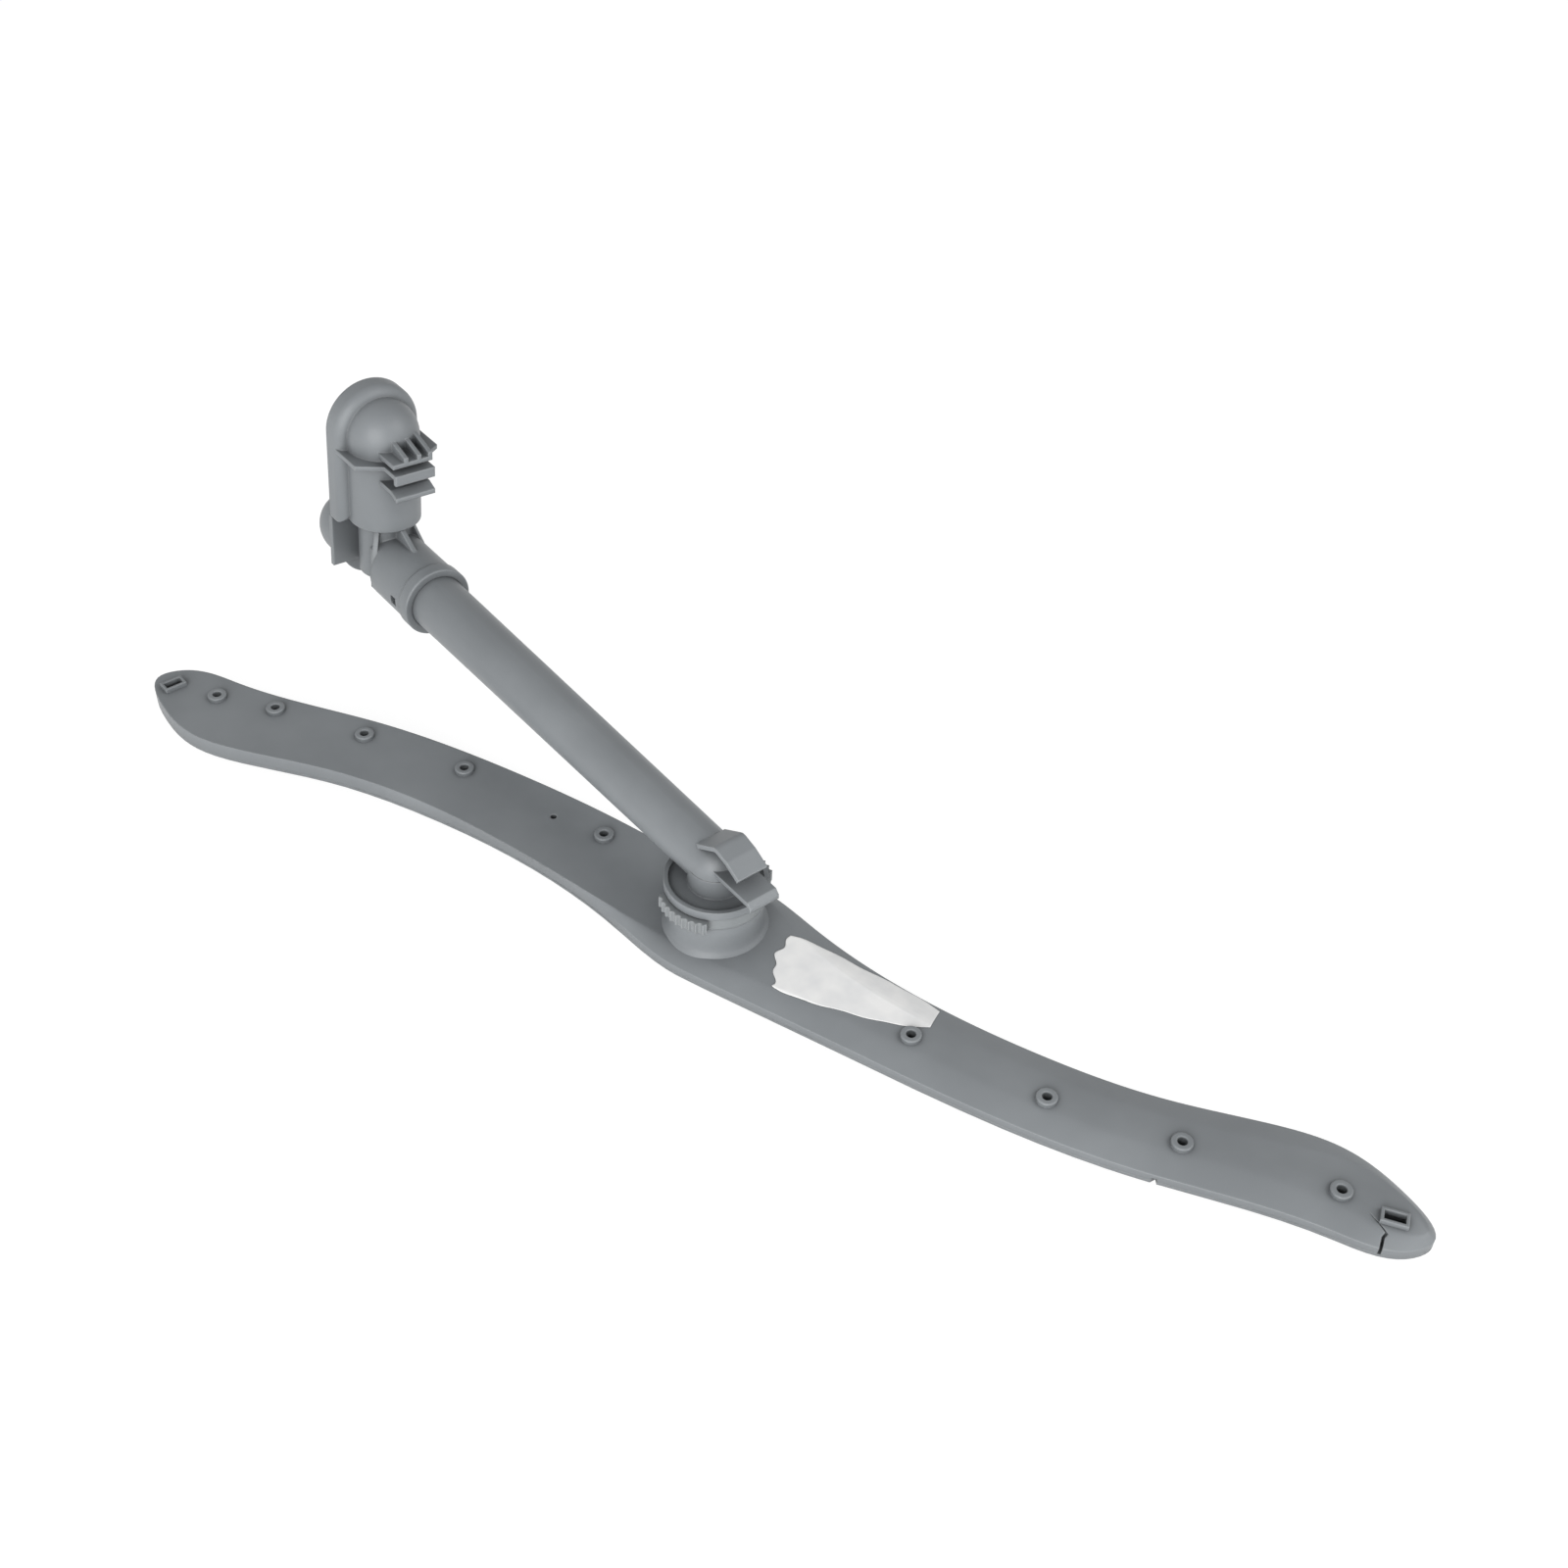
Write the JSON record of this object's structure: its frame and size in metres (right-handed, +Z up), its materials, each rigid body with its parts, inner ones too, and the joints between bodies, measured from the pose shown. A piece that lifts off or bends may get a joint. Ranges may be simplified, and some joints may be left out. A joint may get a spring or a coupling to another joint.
{
  "type": "dishwasher spray arm",
  "caption": "S-shaped hollow spray arm with raised jet bosses that spins under a feed pipe, with a hooded rear inlet dock and sprung clips for the rack wires.",
  "frame": {"origin": "centre of the dock's inlet mouth", "axes": "+Z up along the arm's spin axis, +X along the feed pipe from the dock to the hub"},
  "size_m": [0.4524, 0.1876, 0.1019],
  "materials": {
    "dock_plastic": "satin moulded",
    "pipe_plastic": "satin moulded",
    "arm_plastic": "satin moulded",
    "bearing_plastic": "satin moulded",
    "seal_rubber": "matt"
  },
  "bodies": {
    "feed": {"inlet_hood": "dock_plastic", "elbow_body": "dock_plastic", "feed_pipe": "pipe_plastic", "pipe_seal": "seal_rubber", "snap_collar": "bearing_plastic"},
    "arm": {"hub_ring": "bearing_plastic", "arm_upper_shell": "arm_plastic", "arm_lower_shell": "arm_plastic"}
  },
  "joints": [
    {"name": "arm_spin", "type": "hinge", "parent": "feed", "child": "arm", "pos_m": [0.214, -0.00436, -0.06321], "axis": [0, 0, 1], "continuous": true}
  ]
}
